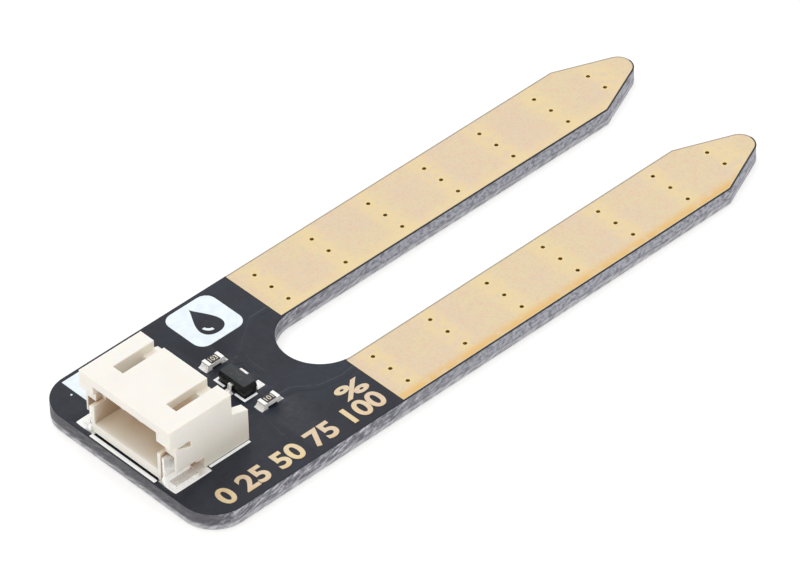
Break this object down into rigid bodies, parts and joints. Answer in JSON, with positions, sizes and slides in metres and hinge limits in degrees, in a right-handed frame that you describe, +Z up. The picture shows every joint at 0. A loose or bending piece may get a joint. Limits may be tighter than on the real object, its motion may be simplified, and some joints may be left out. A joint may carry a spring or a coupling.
{
  "type": "soil moisture sensor",
  "caption": "Fork-shaped circuit board with gold-plated prongs that are pushed into soil, a side-entry plug header and a small amplifier circuit.",
  "frame": {"origin": "under the middle of the board's bounding box, on the plane of its lower face", "axes": "+X along the prongs towards their tips, +Y across the board towards the left prong, +Z up from the lower face to the header's roof"},
  "size_m": [0.06, 0.02, 0.0071],
  "materials": {
    "glass_laminate": "glass-fibre epoxy laminate, speckled grey at the cut edge",
    "black_mask": "black solder-resist lacquer, satin sheen",
    "plated_gold": "immersion gold over nickel on copper, soft satin",
    "bare_copper": "copper foil, tinned where it is open",
    "natural_nylon": "natural ivory nylon, fine moulded grain",
    "tin_plate": "bright tin plate",
    "solder": "reflowed solder, smooth and bright",
    "alumina": "fired white alumina",
    "resistive_film": "fired thick-film resistor ink",
    "black_glaze": "black protective glaze",
    "black_epoxy": "black moulding epoxy, fine grain",
    "silicon": "bare silicon die",
    "gold_wire": "drawn gold wire"
  },
  "bodies": {
    "root": {"fr4_core": "glass_laminate", "top_solder_mask": "black_mask", "bottom_solder_mask": "black_mask", "left_electrode": "plated_gold", "right_electrode": "plated_gold", "ground_copper": "bare_copper", "supply_copper": "bare_copper", "signal_copper": "bare_copper", "left_anchor_pad": "bare_copper", "right_anchor_pad": "bare_copper", "header_housing": "natural_nylon", "signal_pin": "tin_plate", "supply_pin": "tin_plate", "ground_pin": "tin_plate", "left_solder_tab": "tin_plate", "right_solder_tab": "tin_plate", "signal_pin_solder": "solder", "supply_pin_solder": "solder", "ground_pin_solder": "solder", "left_solder_tab_solder": "solder", "right_solder_tab_solder": "solder", "pulldown_resistor_ceramic": "alumina", "pulldown_resistor_overcoat": "black_glaze", "pulldown_resistor_film": "resistive_film", "pulldown_resistor_header_end_terminal": "tin_plate", "pulldown_resistor_header_end_solder": "solder", "pulldown_resistor_prong_end_terminal": "tin_plate", "pulldown_resistor_prong_end_solder": "solder", "series_resistor_ceramic": "alumina", "series_resistor_overcoat": "black_glaze", "series_resistor_film": "resistive_film", "series_resistor_header_end_terminal": "tin_plate", "series_resistor_header_end_solder": "solder", "series_resistor_prong_end_terminal": "tin_plate", "series_resistor_prong_end_solder": "solder", "transistor_body": "black_epoxy", "transistor_die": "silicon", "transistor_collector_lead": "tin_plate", "transistor_collector_solder": "solder", "transistor_base_lead": "tin_plate", "transistor_base_solder": "solder", "transistor_emitter_lead": "tin_plate", "transistor_emitter_solder": "solder", "base_bond_wire": "gold_wire", "emitter_bond_wire": "gold_wire"}
  },
  "joints": []
}
